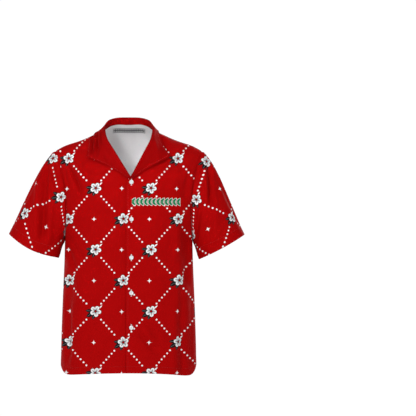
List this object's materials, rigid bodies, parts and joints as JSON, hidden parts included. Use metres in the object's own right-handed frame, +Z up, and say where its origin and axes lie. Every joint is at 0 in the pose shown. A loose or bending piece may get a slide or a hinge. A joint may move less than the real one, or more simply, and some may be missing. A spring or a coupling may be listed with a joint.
{
  "type": "hawaiian shirt",
  "caption": "Short-sleeved hawaiian shirt with an open camp collar and a buttoned front, filled out in its worn shape, hollow, with neck, hem and cuffs open.",
  "frame": {"origin": "middle of the neck on the shoulder line, level with the highest points of the shoulder seams, where a wearer's shoulders carry the shirt", "axes": "+X to the wearer's left, the front faces -Y, +Z up"},
  "size_m": [0.7059, 0.2954, 0.7726],
  "materials": {
    "cloth": "fine plain weave with a soft sheen, red, printed on its outer side and near white inside",
    "collar_cloth": "the same weave, plain red, edge stitched",
    "label": "woven satin ribbon, white",
    "buttons": "polished pearl white"
  },
  "bodies": {
    "root": {"back": "cloth", "left_front": "cloth", "right_front": "cloth", "left_sleeve": "cloth", "right_sleeve": "cloth", "collar": "collar_cloth", "neck_label": "label", "button_1": "buttons", "button_2": "buttons", "button_3": "buttons", "button_4": "buttons", "button_5": "buttons"}
  },
  "joints": []
}
